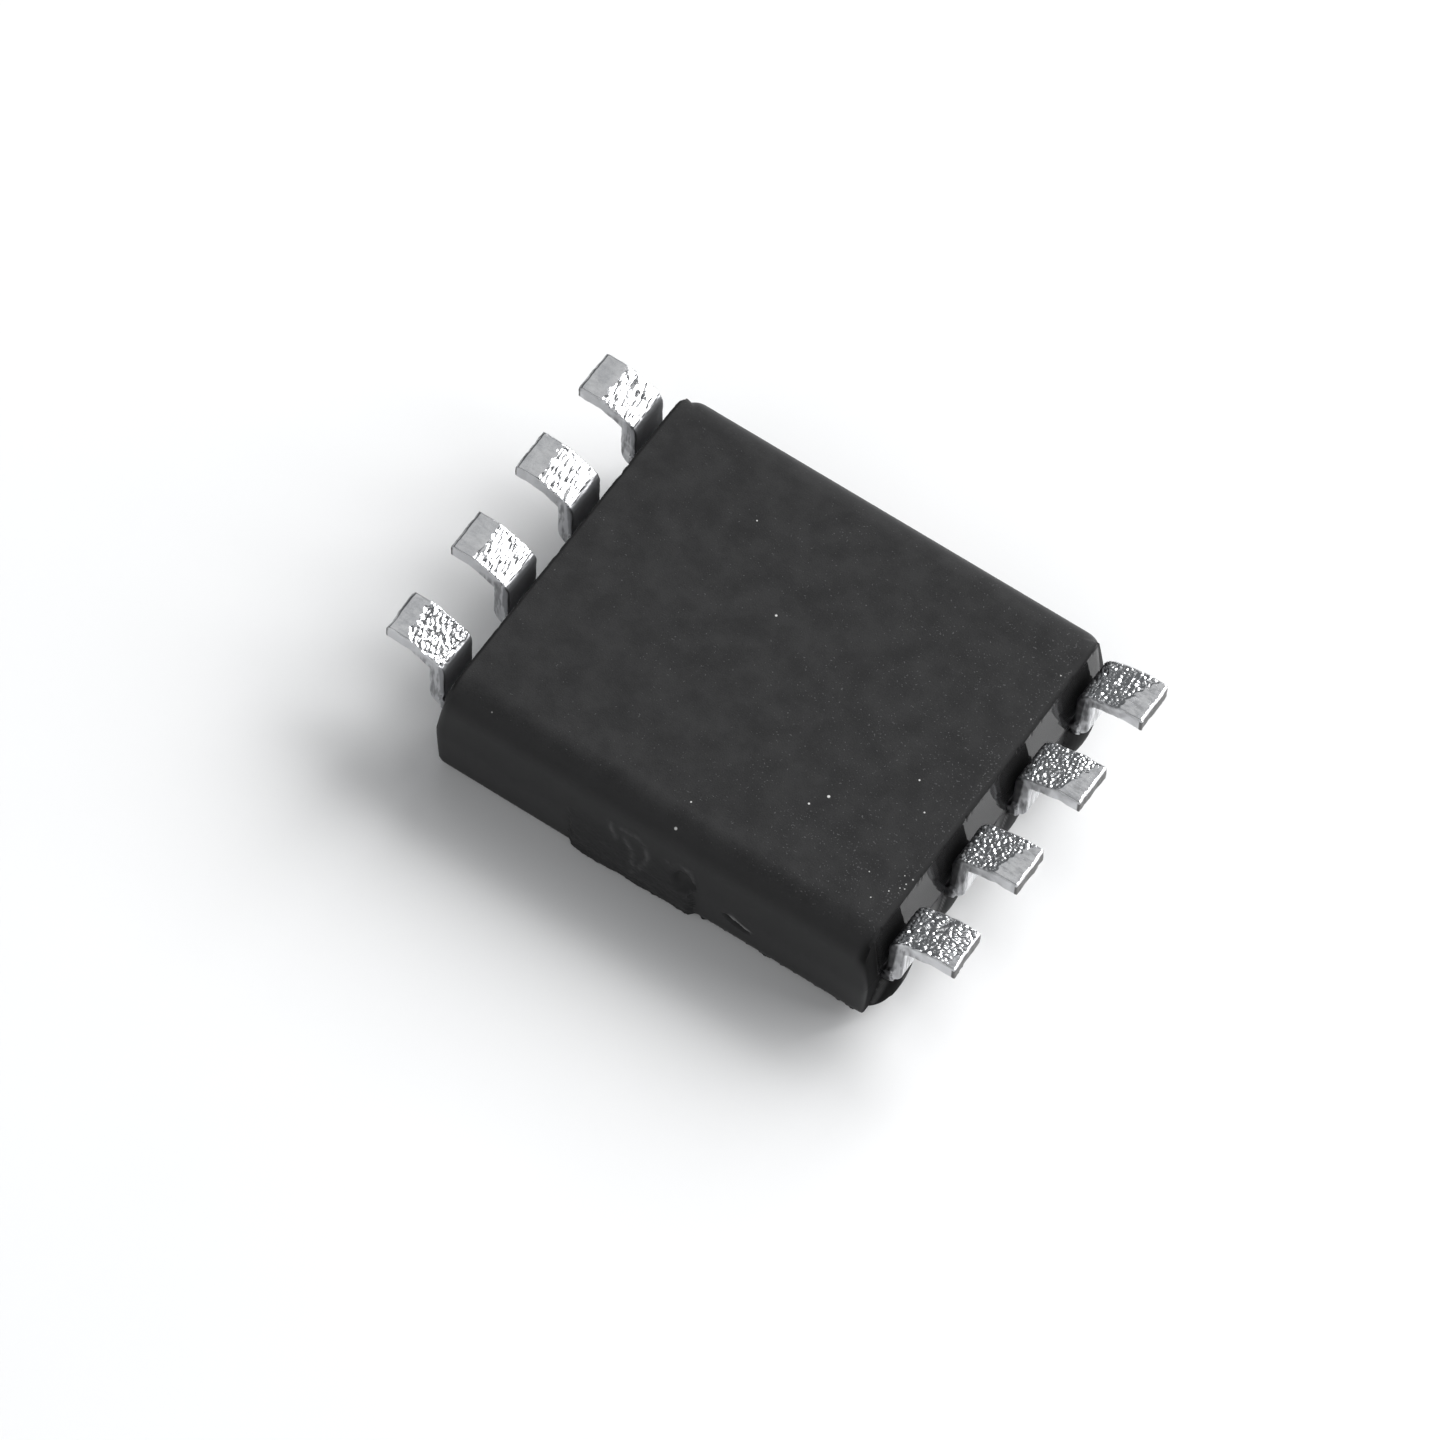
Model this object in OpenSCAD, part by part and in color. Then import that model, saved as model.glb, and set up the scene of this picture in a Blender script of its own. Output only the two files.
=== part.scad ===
// Eight-lead small-outline bus transceiver chip, lying on its marking face.
// X runs across the two rows of leads, Y along them, and Z up from the marking
// face to the underside and the soles. Sizes are millimetres and degrees.

/* [Moulded body] */
// Width across the lead rows, at the parting line
body_width = 5.82; // [5.2:0.02:6.2]
// Length along the lead rows, at the parting line
body_length = 5.08; // [4.8:0.02:5.6]
// Height from the marking face to the underside
body_height = 1.6; // [1.46:0.02:1.9]
// Height of the parting line above the marking face
parting_height = 0.78; // [0.7:0.02:0.86]
// Draft of the walls above the parting line
under_draft = 7; // [4:0.5:10]
// Draft of the walls below the parting line
marking_draft = 3; // [2:0.5:8]
// Radius of the underside's two end edges
end_edge_radius = 0.36; // [0.1:0.02:0.4]
// Radius of the underside's two lead-side edges
side_edge_radius = 0.05; // [0.02:0.01:0.1]
// Radius of the marking face's edges
marking_edge_radius = 0.18; // [0.05:0.01:0.2]
// Radius of the upright corners at the parting line
corner_radius = 0.24; // [0.1:0.02:0.4]
// Diameter of the pin-one dimple in the marking face
dimple_diameter = 0.8; // [0.5:0.05:1.1]
// Depth of the pin-one dimple
dimple_depth = 0.06; // [0.03:0.01:0.12]
// Distance of the dimple's middle from the marking face's edges
dimple_inset = 0.75; // [0.65:0.05:1.2]

/* [Broken gate] */
// Width of the break on the end wall
gate_width = 1.66; // [1.2:0.02:2]
// Sideways place of the break's middle
gate_place = -0.3; // [-0.6:0.02:0.4]
// Distance of the break's upper edge below the parting line
gate_top = 0.06; // [0.05:0.01:0.12]
// Distance of the break's lower edge below the parting line
gate_bottom = 0.69; // [0.5:0.01:0.69]
// How far the broken face stands out of the wall
gate_proud = 0.06; // [0.03:0.01:0.1]
// Largest step of the ragged outline
gate_ragged = 0.03; // [0.01:0.005:0.04]
// Width of the flow ridges on the broken face
ridge_width = 0.06; // [0.04:0.005:0.09]
// Height of the flow ridges
ridge_height = 0.02; // [0.01:0.005:0.04]
// Radius of the innermost flow ridge
ridge_radius = 0.18; // [0.14:0.01:0.2]
// Distance from flow ridge to flow ridge
ridge_pitch = 0.1; // [0.095:0.005:0.12]
// Width of the pit torn beside the ridges
pit_width = 0.28; // [0.2:0.02:0.36]
// Distance of the pit's middle from the break's middle
pit_offset = 0.67; // [0.5:0.01:0.7]
// Distance of the pit's middle below the parting line
pit_drop = 0.24; // [0.2:0.01:0.4]
// Depth of the pit
pit_depth = 0.07; // [0.03:0.01:0.09]
// Length of the chip broken out beside the gate
chip_length = 0.42; // [0.2:0.02:0.5]
// Depth of that chip
chip_depth = 0.05; // [0.02:0.01:0.08]
// Gap between the break and the chip
chip_gap = 0.38; // [0.3:0.01:0.44]
// Distance of the chip below the parting line
chip_drop = 0.24; // [0.2:0.01:0.5]
// Slant of the chip on the wall
chip_slant = 12; // [0:1:20]

/* [Resin lumps] */
// How far the resin below an end lead of the +X row stands out of the wall
lump_reach_end = 0.18; // [0.08:0.01:0.2]
// How far it stands out of the wall below a middle lead of that row
lump_reach_middle = 0.09; // [0.03:0.01:0.12]
// Radius of a lump, seen from above
lump_radius = 0.22; // [0.2:0.01:0.26]
// How much smaller that radius is at the lower end
lump_taper = 0.06; // [0.02:0.01:0.1]
// Height of the lower end above the marking face
lump_low = 0.14; // [0.08:0.01:0.24]

/* [Leads] */
// Distance from lead to lead in a row
lead_pitch = 1.27; // [1.2:0.01:1.35]
// Width of a lead
lead_width = 0.57; // [0.36:0.01:0.62]
// Thickness of the lead frame's sheet
sheet = 0.21; // [0.15:0.01:0.25]
// Span of the leads from tip to tip
lead_span = 7.62; // [7.4:0.02:8.2]
// Height of the soles above the underside
standoff = 0.15; // [0.05:0.01:0.3]
// Gap between the parting line and a lead's upright part
leg_gap = 0.07; // [0.06:0.01:0.12]
// Outward lean of the upright part
leg_lean = 4; // [0:0.5:8]
// Inner radius of the bend beside the body
root_bend = 0.05; // [0.02:0.01:0.06]
// Inner radius of the heel
heel_bend = 0.1; // [0.04:0.01:0.15]
// How far the sheared dam bar stands out of a lead's sides
dam_proud = 0.03; // [0.01:0.005:0.05]
// Height of the sheared dam bar
dam_height = 0.14; // [0.08:0.01:0.2]
// Height of the dam bar's middle above the parting line
dam_rise = 0.2; // [0.18:0.01:0.34]

/* [Lead frame in the body] */
// Length of a lead's straight part behind the wall
finger_straight = 0.6; // [0.5:0.02:0.7]
// Width of a lead's inner end
finger_width = 0.42; // [0.3:0.02:0.5]
// Distance from inner end to inner end
finger_pitch = 0.86; // [0.7:0.02:1]
// Gap between the inner ends and the die pad
finger_gap = 0.25; // [0.15:0.01:0.35]
// Radius of the inner ends' corners
finger_radius = 0.06; // [0.02:0.01:0.1]
// Width of the hole that locks a lead in the moulding
lock_width = 0.22; // [0.15:0.01:0.26]
// Distance of that hole's middle behind the wall
lock_inset = 0.36; // [0.3:0.01:0.42]
// Width of the die pad
pad_width = 2.5; // [2:0.05:2.8]
// Length of the die pad
pad_length = 3.1; // [2.6:0.05:3.3]
// Height of the die pad's step above the leads
pad_step = 0.2; // [0.1:0.01:0.25]
// Radius of the die pad's corners
pad_radius = 0.15; // [0.05:0.01:0.3]
// Width of the two tie bars
tie_width = 0.4; // [0.2:0.02:0.6]
// Length of a tie bar's level part beside the pad
tie_run = 0.12; // [0.08:0.01:0.16]
// Length of a tie bar's slope
tie_slope = 0.28; // [0.22:0.01:0.3]
// How far the far tie bar's sheared end stands out of the wall
tie_proud = 0.06; // [0.02:0.01:0.1]
// Moulding left over the near tie bar's end
tie_cover = 0.12; // [0.08:0.01:0.2]

/* [Die and wires] */
// Width of the die
die_width = 1.5; // [1.2:0.05:1.9]
// Length of the die
die_length = 2.2; // [1.8:0.05:2.5]
// Thickness of the die
die_thickness = 0.28; // [0.2:0.01:0.3]
// Thickness of the glue under the die
attach_thickness = 0.03; // [0.02:0.005:0.05]
// How far the glue reaches past the die
attach_margin = 0.06; // [0.02:0.01:0.1]
// Thickness of a bond wire
wire_thickness = 0.036; // [0.025:0.001:0.05]
// Distance of the ball bonds from the die's edge
bond_inset = 0.14; // [0.1:0.01:0.2]
// Distance from ball bond to ball bond
bond_pitch = 0.52; // [0.4:0.02:0.55]
// Diameter of a ball bond
ball_diameter = 0.09; // [0.07:0.005:0.12]
// Height of a ball bond
ball_height = 0.03; // [0.02:0.002:0.04]
// Height of the wires' loops over the die
loop_height = 0.15; // [0.1:0.01:0.18]
// Length of a loop's level part
loop_run = 0.2; // [0.15:0.01:0.25]
// Length of the wire pressed flat on a lead
stitch_length = 0.1; // [0.06:0.01:0.14]
// Distance of the wire's end behind a lead's inner end
stitch_inset = 0.26; // [0.2:0.01:0.32]

/* [Hidden] */
row_count = 4;
lead_count = 2 * row_count;
arc_steps = 8;
hole_sides = 12;
lump_sides = 32;
dimple_sides = 48;
pit_sides = 7;
break_steps = 14;
break_seed = 7;
ridge_count = 3;
ridge_angles = [20:12:128];
beyond = 1;

wall_x = body_width / 2;
wall_y = body_length / 2;
sole_z = body_height + standoff;
frame_top = parting_height + sheet / 2;
frame_bottom = parting_height - sheet / 2;
leg_x = wall_x + leg_gap + sheet / 2;
foot_z = sole_z - sheet / 2;
heel_x = leg_x + (foot_z - parting_height) * tan(leg_lean);
finger_root = wall_x - finger_straight;
finger_tip = pad_width / 2 + finger_gap;
pad_z = parting_height + pad_step;
attach_top = pad_z - sheet / 2;
die_top = attach_top - attach_thickness;
die_face = die_top - die_thickness;
marking_x = wall_x - parting_height * tan(marking_draft);
marking_y = wall_y - parting_height * tan(marking_draft);

function unit(v) = v / norm(v);
function left_of(d) = [-d[1], d[0]];
function reversed(v) = [for (i = [len(v) - 1:-1:0]) v[i]];

// One side of a strip along a path, offset to the left with mitred corners
function strip_side(path, offset) = [for (i = [0:len(path) - 1])
    let (before = unit(path[max(i, 1)] - path[max(i, 1) - 1]),
        after = unit(path[min(i + 1, len(path) - 1)] - path[min(i, len(path) - 2)]),
        mitre = left_of(before) + left_of(after))
    path[i] + mitre * 2 * offset / (mitre * mitre)];
function strip(path, width) = concat(strip_side(path, -width / 2), reversed(strip_side(path, width / 2)));

// The arc that rounds corner v between its neighbours a and b
function corner(a, v, b, radius) = radius == 0 ? [v] :
    let (u = unit(a - v), w = unit(b - v), half = acos(u * w) / 2,
        middle = v + unit(u + w) * radius / sin(half),
        first = v + u * radius / tan(half) - middle,
        last = v + w * radius / tan(half) - middle,
        start = atan2(first[1], first[0]),
        swing = atan2(last[1], last[0]) - start,
        turn = swing > 180 ? swing - 360 : swing < -180 ? swing + 360 : swing)
    [for (k = [0:arc_steps]) let (angle = start + turn * k / arc_steps)
        middle + radius * [cos(angle), sin(angle)]];
function rounded(points, radii) = let (n = len(points))
    [for (i = [0:n - 1]) each corner(points[(i + n - 1) % n], points[i], points[(i + 1) % n], radii[i])];
function rectangle(x, y) = [[-x, -y], [x, -y], [x, y], [-x, y]];
function rounded_rectangle(x, y, radius) = rounded(rectangle(x, y), [radius, radius, radius, radius]);

// Upright section of the body, wide at the parting line and drafted both ways
function body_section(half, edge_radius) =
    let (low = half - parting_height * tan(marking_draft),
        high = half - (body_height - parting_height) * tan(under_draft))
    rounded([[-low, 0], [low, 0], [half, parting_height],
            [high, body_height], [-high, body_height], [-half, parting_height]],
        [marking_edge_radius, marking_edge_radius, 0, edge_radius, edge_radius, 0]);

// Lead numbers run up one row and back down the other
function lead_side(i) = i <= row_count ? -1 : 1;
function lead_step(i) = (i <= row_count ? i - 1 : lead_count - i) - (row_count - 1) / 2;

module across_x(width) rotate([90, 0, 90]) linear_extrude(height = width, center = true) children();
module along_y(length) rotate([90, 0, 0]) linear_extrude(height = length, center = true) children();
module raised(low, high) translate([0, 0, low]) linear_extrude(height = high - low) children();
module on_side(i) if (lead_side(i) < 0) mirror([1, 0, 0]) children(); else children();
// Stands children on the near end wall below the parting line, Y up the wall and Z out of it
module on_gate_wall() translate([0, -wall_y, parting_height]) rotate([90 + marking_draft, 0, 0]) children();
module on_wall(depth, height) translate([0, 0, -depth]) linear_extrude(height = depth + height) children();

// Gull wing in section, from the body's inside up the leg to the sole
module gull_wing() polygon(
    let (path = [[finger_root, parting_height], [leg_x, parting_height],
        [heel_x, foot_z], [lead_span / 2, foot_z]])
    rounded(strip(path, sheet), [0, root_bend + sheet, heel_bend, 0, 0, heel_bend + sheet, root_bend, 0]));

// Inner end of a lead in plan, narrowing towards the die pad
module finger(i) {
    y = lead_step(i) * lead_pitch;
    tip = lead_step(i) * finger_pitch;
    lap = finger_root + lock_inset / 2;
    polygon(rounded([[lap, y - lead_width / 2], [lap, y + lead_width / 2],
            [finger_root, y + lead_width / 2], [finger_tip, tip + finger_width / 2],
            [finger_tip, tip - finger_width / 2], [finger_root, y - lead_width / 2]],
        [0, 0, 0, finger_radius, finger_radius, 0]));
}

module lead_shape(i) on_side(i) difference() {
    union() {
        translate([0, lead_step(i) * lead_pitch, 0]) {
            along_y(lead_width) gull_wing();
            intersection() {
                along_y(lead_width + 2 * dam_proud) gull_wing();
                translate([leg_x - sheet, -lead_pitch / 2, parting_height + dam_rise - dam_height / 2])
                    cube([2 * sheet, lead_pitch, dam_height]);
            }
        }
        raised(frame_bottom, frame_top) finger(i);
    }
    translate([wall_x - lock_inset, lead_step(i) * lead_pitch, frame_bottom - beyond])
        cylinder(d = lock_width, h = sheet + 2 * beyond, $fn = hole_sides);
}

// From the pad's edge, level, down the slope and level again to the end
module tie_bar(end_y) across_x(tie_width) polygon(let (slope_y = pad_length / 2 + tie_run)
    strip([[pad_length / 2 - pad_radius, pad_z], [slope_y, pad_z],
        [slope_y + tie_slope, parting_height], [end_y, parting_height]], sheet));

module die_pad_shape() {
    raised(pad_z - sheet / 2, pad_z + sheet / 2)
        polygon(rounded_rectangle(pad_width / 2, pad_length / 2, pad_radius));
    tie_bar(wall_y + tie_proud);
    mirror([0, 1, 0]) tie_bar(wall_y - tie_cover);
}

module die_attach_shape() raised(die_top, attach_top) polygon(rounded_rectangle(
    die_width / 2 + attach_margin, die_length / 2 + attach_margin, attach_margin));

module die_shape() raised(die_face, die_top) polygon(rectangle(die_width / 2, die_length / 2));

// Ball on the die, loop towards the marking face, and the flat end on a lead
module bond_wire_shape(i) {
    ball = [die_width / 2 - bond_inset, lead_step(i) * bond_pitch];
    reach = [finger_tip + stitch_inset, lead_step(i) * finger_pitch] - ball;
    span = norm(reach);
    loop_z = die_face - loop_height;
    stitch_z = frame_bottom - wire_thickness / 2;
    on_side(i) translate([ball[0], ball[1], 0]) {
        raised(die_face - ball_height, die_face) circle(d = ball_diameter, $fn = hole_sides);
        rotate(atan2(reach[1], reach[0])) along_y(wire_thickness)
            polygon(strip([[0, die_face - ball_height / 2], [0, loop_z], [loop_run, loop_z],
                [span - stitch_length, stitch_z], [span, stitch_z]], wire_thickness));
    }
}

// Ragged break outline, with its steps drawn from a fixed seed
module gate_break() {
    ragged = rands(-gate_ragged, gate_ragged, 2 * (break_steps + 1), break_seed);
    places = [for (k = [0:break_steps]) gate_place + gate_width * (k / break_steps - 0.5)];
    lower = [for (k = [0:break_steps]) [places[k], ragged[k] - gate_bottom]];
    upper = [for (k = [0:break_steps]) [places[k], ragged[break_steps + 1 + k] - gate_top - gate_ragged]];
    polygon(concat(lower, reversed(upper)));
}

module flow_ridge(k) {
    middle = [gate_place + (k - 1) * ridge_pitch, ridge_width + gate_ragged - gate_bottom];
    radius = ridge_radius + k * ridge_pitch;
    polygon(strip([for (angle = ridge_angles) middle + radius * [cos(angle), sin(angle)]], ridge_width));
}

module gate_scar() on_gate_wall() {
    on_wall(sheet, gate_proud) gate_break();
    intersection() {
        on_wall(sheet, gate_proud + ridge_height) union() for (k = [0:ridge_count - 1]) flow_ridge(k);
        on_wall(sheet + beyond, gate_proud + beyond) gate_break();
    }
}

// The pit in the broken face and the chip beside it
module gate_damage() on_gate_wall() {
    translate([gate_place + pit_offset, -pit_drop])
        on_wall(pit_depth - gate_proud, beyond) circle(d = pit_width, $fn = pit_sides);
    translate([gate_place + gate_width / 2 + chip_gap + chip_length / 2, -chip_drop]) rotate(-chip_slant)
        on_wall(chip_depth, beyond) polygon([[-chip_length / 2, 0], [chip_length / 2, -chip_depth],
            [chip_length / 4, chip_depth], [-chip_length / 5, 2 * chip_depth]]);
}

// Resin squeezed out below the root of a +X lead, on the side of its sheared dam bar
module resin_lump(i) {
    reach = i == row_count + 1 || i == lead_count ? lump_reach_end : lump_reach_middle;
    translate([wall_x + reach - lump_radius, lead_step(i) * lead_pitch - lead_width / 2, lump_low])
        cylinder(r1 = lump_radius - lump_taper, r2 = lump_radius, h = parting_height - lump_low,
            $fn = lump_sides);
}

module body_shape() difference() {
    union() {
        intersection() {
            along_y(body_length + beyond) polygon(body_section(wall_x, side_edge_radius));
            across_x(body_width + beyond) polygon(body_section(wall_y, end_edge_radius));
            raised(-beyond, body_height + beyond) polygon(rounded_rectangle(wall_x, wall_y, corner_radius));
        }
        for (i = [row_count + 1:lead_count]) resin_lump(i);
        gate_scar();
    }
    gate_damage();
    translate([-marking_x + dimple_inset, -marking_y + dimple_inset, -beyond])
        cylinder(d = dimple_diameter, h = beyond + dimple_depth, $fn = dimple_sides);
}

module molded_body() color("#38393a") difference() {
    body_shape();
    for (i = [1:lead_count]) {
        lead_shape(i);
        bond_wire_shape(i);
    }
    die_pad_shape();
    die_attach_shape();
    die_shape();
}

module lead(i) color("#b9bcbf") lead_shape(i);
module die_pad() color("#c08457") die_pad_shape();
module die_attach() color("#a9aaa6") die_attach_shape();
module die() color("#5b6270") die_shape();
module bond_wire(i) color("#d9b25a") bond_wire_shape(i);

molded_body();
lead(1);  // lead_1
lead(2);  // lead_2
lead(3);  // lead_3
lead(4);  // lead_4
lead(5);  // lead_5
lead(6);  // lead_6
lead(7);  // lead_7
lead(8);  // lead_8
die_pad();
die_attach();
die();
bond_wire(1);  // bond_wire_1
bond_wire(2);  // bond_wire_2
bond_wire(3);  // bond_wire_3
bond_wire(4);  // bond_wire_4
bond_wire(5);  // bond_wire_5
bond_wire(6);  // bond_wire_6
bond_wire(7);  // bond_wire_7
bond_wire(8);  // bond_wire_8
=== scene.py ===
import math

import bmesh
import bpy
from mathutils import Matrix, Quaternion, Vector, noise


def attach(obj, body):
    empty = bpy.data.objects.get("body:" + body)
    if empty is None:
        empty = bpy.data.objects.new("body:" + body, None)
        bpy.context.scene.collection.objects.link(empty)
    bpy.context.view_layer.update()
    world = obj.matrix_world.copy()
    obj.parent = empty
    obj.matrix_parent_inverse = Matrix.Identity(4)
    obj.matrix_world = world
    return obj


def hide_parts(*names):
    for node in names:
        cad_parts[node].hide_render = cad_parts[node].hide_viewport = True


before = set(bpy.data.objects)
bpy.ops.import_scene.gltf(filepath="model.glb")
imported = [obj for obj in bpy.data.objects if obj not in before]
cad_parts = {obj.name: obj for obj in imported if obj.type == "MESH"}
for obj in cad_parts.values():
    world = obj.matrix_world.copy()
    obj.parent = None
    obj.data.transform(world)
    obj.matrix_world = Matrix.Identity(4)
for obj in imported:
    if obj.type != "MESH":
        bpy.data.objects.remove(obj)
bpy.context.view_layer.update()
mm = 0.001
scene = bpy.context.scene
print("frame loaded:", len(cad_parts), "nodes")

# camera at the photograph's angle, fitted to the soles and the body's edges
viewSetup = {
    "azimuth": 30.28, "elevation": 60.48, "roll": 4.13,  # degrees
    "aim": (-0.222, -0.778, 1.2), "distance": 114.44,  # mm
    "lens": 256.63, "sensor": 36.0,  # mm
    "clip": (0.001, 20.0),  # m
}


def backVector(azimuth, elevation):
    a, e = math.radians(azimuth), math.radians(elevation)
    return Vector((math.sin(a) * math.cos(e), -math.cos(a) * math.cos(e), math.sin(e)))


def placeCamera():
    s = viewSetup
    data = bpy.data.cameras.new("photoCamera")
    data.lens, data.sensor_width = s["lens"], s["sensor"]
    data.clip_start, data.clip_end = s["clip"]
    camera = bpy.data.objects.new("photoCamera", data)
    scene.collection.objects.link(camera)
    back = backVector(s["azimuth"], s["elevation"])
    camera.location = (Vector(s["aim"]) + back * s["distance"]) * mm
    camera.rotation_mode = "QUATERNION"
    roll = Quaternion((0, 0, 1), math.radians(s["roll"]))
    camera.rotation_quaternion = back.to_track_quat("Z", "Y") @ roll
    scene.camera = camera


placeCamera()
scene.view_settings.view_transform = "Standard"
print("camera placed")

# soft studio light: a broad key behind, a panel on the right, weak ones overhead and in front
lightSetup = {
    "sky": (0.94, 0.97, 1.0), "skyStrength": 0.15,
    "distance": 260.0,  # mm
    "panels": {
        "keyPanel": {"azimuth": 160.0, "elevation": 39.0, "size": (190.0, 180.0), "glow": 7.7},
        "rightPanel": {"azimuth": 118.0, "elevation": 29.0, "size": (160.0, 190.0), "glow": 3.0},
        "topPanel": {"azimuth": 211.0, "elevation": 62.0, "size": (170.0, 150.0), "glow": 0.42},
        "frontPanel": {"azimuth": 10.0, "elevation": 40.0, "size": (420.0, 300.0), "glow": 0.66},
    },
}


def hangPanels():
    s = lightSetup
    world = bpy.data.worlds.new("paleRoom")
    scene.world = world
    world.use_nodes = True
    sky = world.node_tree.nodes["Background"]
    sky.inputs["Color"].default_value = (*s["sky"], 1.0)
    sky.inputs["Strength"].default_value = s["skyStrength"]
    for name, p in s["panels"].items():
        data = bpy.data.lights.new(name, "AREA")
        data.shape = "RECTANGLE"
        data.size, data.size_y = p["size"][0] * mm, p["size"][1] * mm
        data.energy = math.pi * data.size * data.size_y * p["glow"]
        panel = bpy.data.objects.new(name, data)
        scene.collection.objects.link(panel)
        back = backVector(p["azimuth"], p["elevation"])
        panel.location = back * s["distance"] * mm
        panel.rotation_euler = back.to_track_quat("Z", "Y").to_euler()


hangPanels()
print("lights hung")


# node helpers
def addNode(tree, kind, values=None, **options):
    node = tree.nodes.new("ShaderNode" + kind)
    for key, value in options.items():
        setattr(node, key, value)
    for key, value in (values or {}).items():
        if isinstance(value, bpy.types.NodeSocket):
            tree.links.new(value, node.inputs[key])
        else:
            node.inputs[key].default_value = value
    return node


def doMath(tree, operation, a, b=0.0, c=0.0):
    return addNode(tree, "Math", {0: a, 1: b, 2: c}, operation=operation).outputs[0]


def fade(tree, value, start, end, low=0.0, high=1.0):
    limits = {"Value": value, "From Min": start, "From Max": end, "To Min": low, "To Max": high}
    return addNode(tree, "MapRange", limits, interpolation_type="SMOOTHSTEP").outputs["Result"]


def both(tree, *masks):  # a share can stand among the masks
    joined = masks[0]
    for mask in masks[1:]:
        joined = doMath(tree, "MULTIPLY", joined, mask)
    return joined


def either(tree, a, b):
    return doMath(tree, "MAXIMUM", a, b)


def inverse(tree, mask):
    return doMath(tree, "SUBTRACT", 1.0, mask)


def blendValue(tree, factor, a, b):
    return addNode(tree, "Mix", {0: factor, 2: a, 3: b}, data_type="FLOAT").outputs[0]


def blendTone(tree, factor, a, b):
    return addNode(tree, "Mix", {0: factor, 6: a, 7: b}, data_type="RGBA").outputs[2]


def cloudy(tree, place, size, detail=2.0, roughness=0.5):
    values = {"Vector": place, "Scale": 1.0 / size, "Detail": detail, "Roughness": roughness}
    return addNode(tree, "TexNoise", values).outputs["Fac"]


def addBump(tree, height, depth, **more):  # the depth is in mm
    values = {"Height": height, "Strength": 1.0, "Distance": depth * mm, **more}
    return addNode(tree, "Bump", values).outputs["Normal"]


def startGroup(name, inputs, outputs):
    group = bpy.data.node_groups.new(name, "ShaderNodeTree")
    for label, kind in inputs:
        group.interface.new_socket(name=label, in_out="INPUT", socket_type="NodeSocket" + kind)
    for label, kind in outputs:
        group.interface.new_socket(name=label, in_out="OUTPUT", socket_type="NodeSocket" + kind)
    given = group.nodes.new("NodeGroupInput").outputs
    made = group.nodes.new("NodeGroupOutput").inputs
    return group, given, made


def useGroup(tree, group, values):
    return addNode(tree, "Group", values, node_tree=group).outputs


def startMaterial(name):
    material = bpy.data.materials.new(name)
    material.use_nodes = True
    tree = material.node_tree
    tree.nodes.clear()
    shader = addNode(tree, "BsdfPrincipled")
    end = addNode(tree, "OutputMaterial")
    tree.links.new(shader.outputs["BSDF"], end.inputs["Surface"])
    metres = addNode(tree, "TexCoord").outputs["Object"]
    place = addNode(tree, "VectorMath", {0: metres, "Scale": 1.0 / mm}, operation="SCALE").outputs["Vector"]
    return material, tree, shader, place  # the place is in mm


# effects shared by several materials
effectForm = {
    "grain": {"Detail": 3.0, "Roughness": 0.6}, "cloudScale": 0.06, "cloudShare": 0.65,
    "streak": {"Detail": 3.0, "Roughness": 0.55},
    "fleckCore": 0.5,
}


def makeGrainGroup():
    s = effectForm
    inputs = [("Place", "Vector"), ("Size", "Float")]
    group, given, made = startGroup("fineGrain", inputs, [("Height", "Float"), ("Tone", "Float")])
    fine = doMath(group, "DIVIDE", 1.0, given["Size"])
    broad = doMath(group, "MULTIPLY", fine, s["cloudScale"])
    values = {"Vector": given["Place"], **s["grain"]}
    grain = addNode(group, "TexNoise", {**values, "Scale": fine}).outputs["Fac"]
    cloud = addNode(group, "TexNoise", {**values, "Scale": broad}).outputs["Fac"]
    group.links.new(grain, made["Height"])
    group.links.new(blendValue(group, s["cloudShare"], grain, cloud), made["Tone"])
    return group


def makeStreakGroup():
    inputs = [("Place", "Vector"), ("Along", "Vector"), ("Size", "Float")]
    group, given, made = startGroup("drawnStreaks", inputs, [("Height", "Float")])
    drawn = addNode(group, "VectorMath", {0: given["Place"], 1: given["Along"]}, operation="MULTIPLY")
    values = {"Vector": drawn.outputs["Vector"], **effectForm["streak"]}
    values["Scale"] = doMath(group, "DIVIDE", 1.0, given["Size"])
    group.links.new(addNode(group, "TexNoise", values).outputs["Fac"], made["Height"])
    return group


def makeFleckGroup():
    inputs = [("Place", "Vector"), ("Spot", "Vector"), ("Size", "Float")]
    group, given, made = startGroup("dustFleck", inputs, [("Mask", "Float")])
    away = addNode(group, "VectorMath", {0: given["Place"], 1: given["Spot"]}, operation="DISTANCE")
    core = doMath(group, "MULTIPLY", given["Size"], effectForm["fleckCore"])
    group.links.new(fade(group, away.outputs["Value"], core, given["Size"], 1.0, 0.0), made["Mask"])
    return group


fineGrain, drawnStreaks, dustFleck = makeGrainGroup(), makeStreakGroup(), makeFleckGroup()

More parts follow.
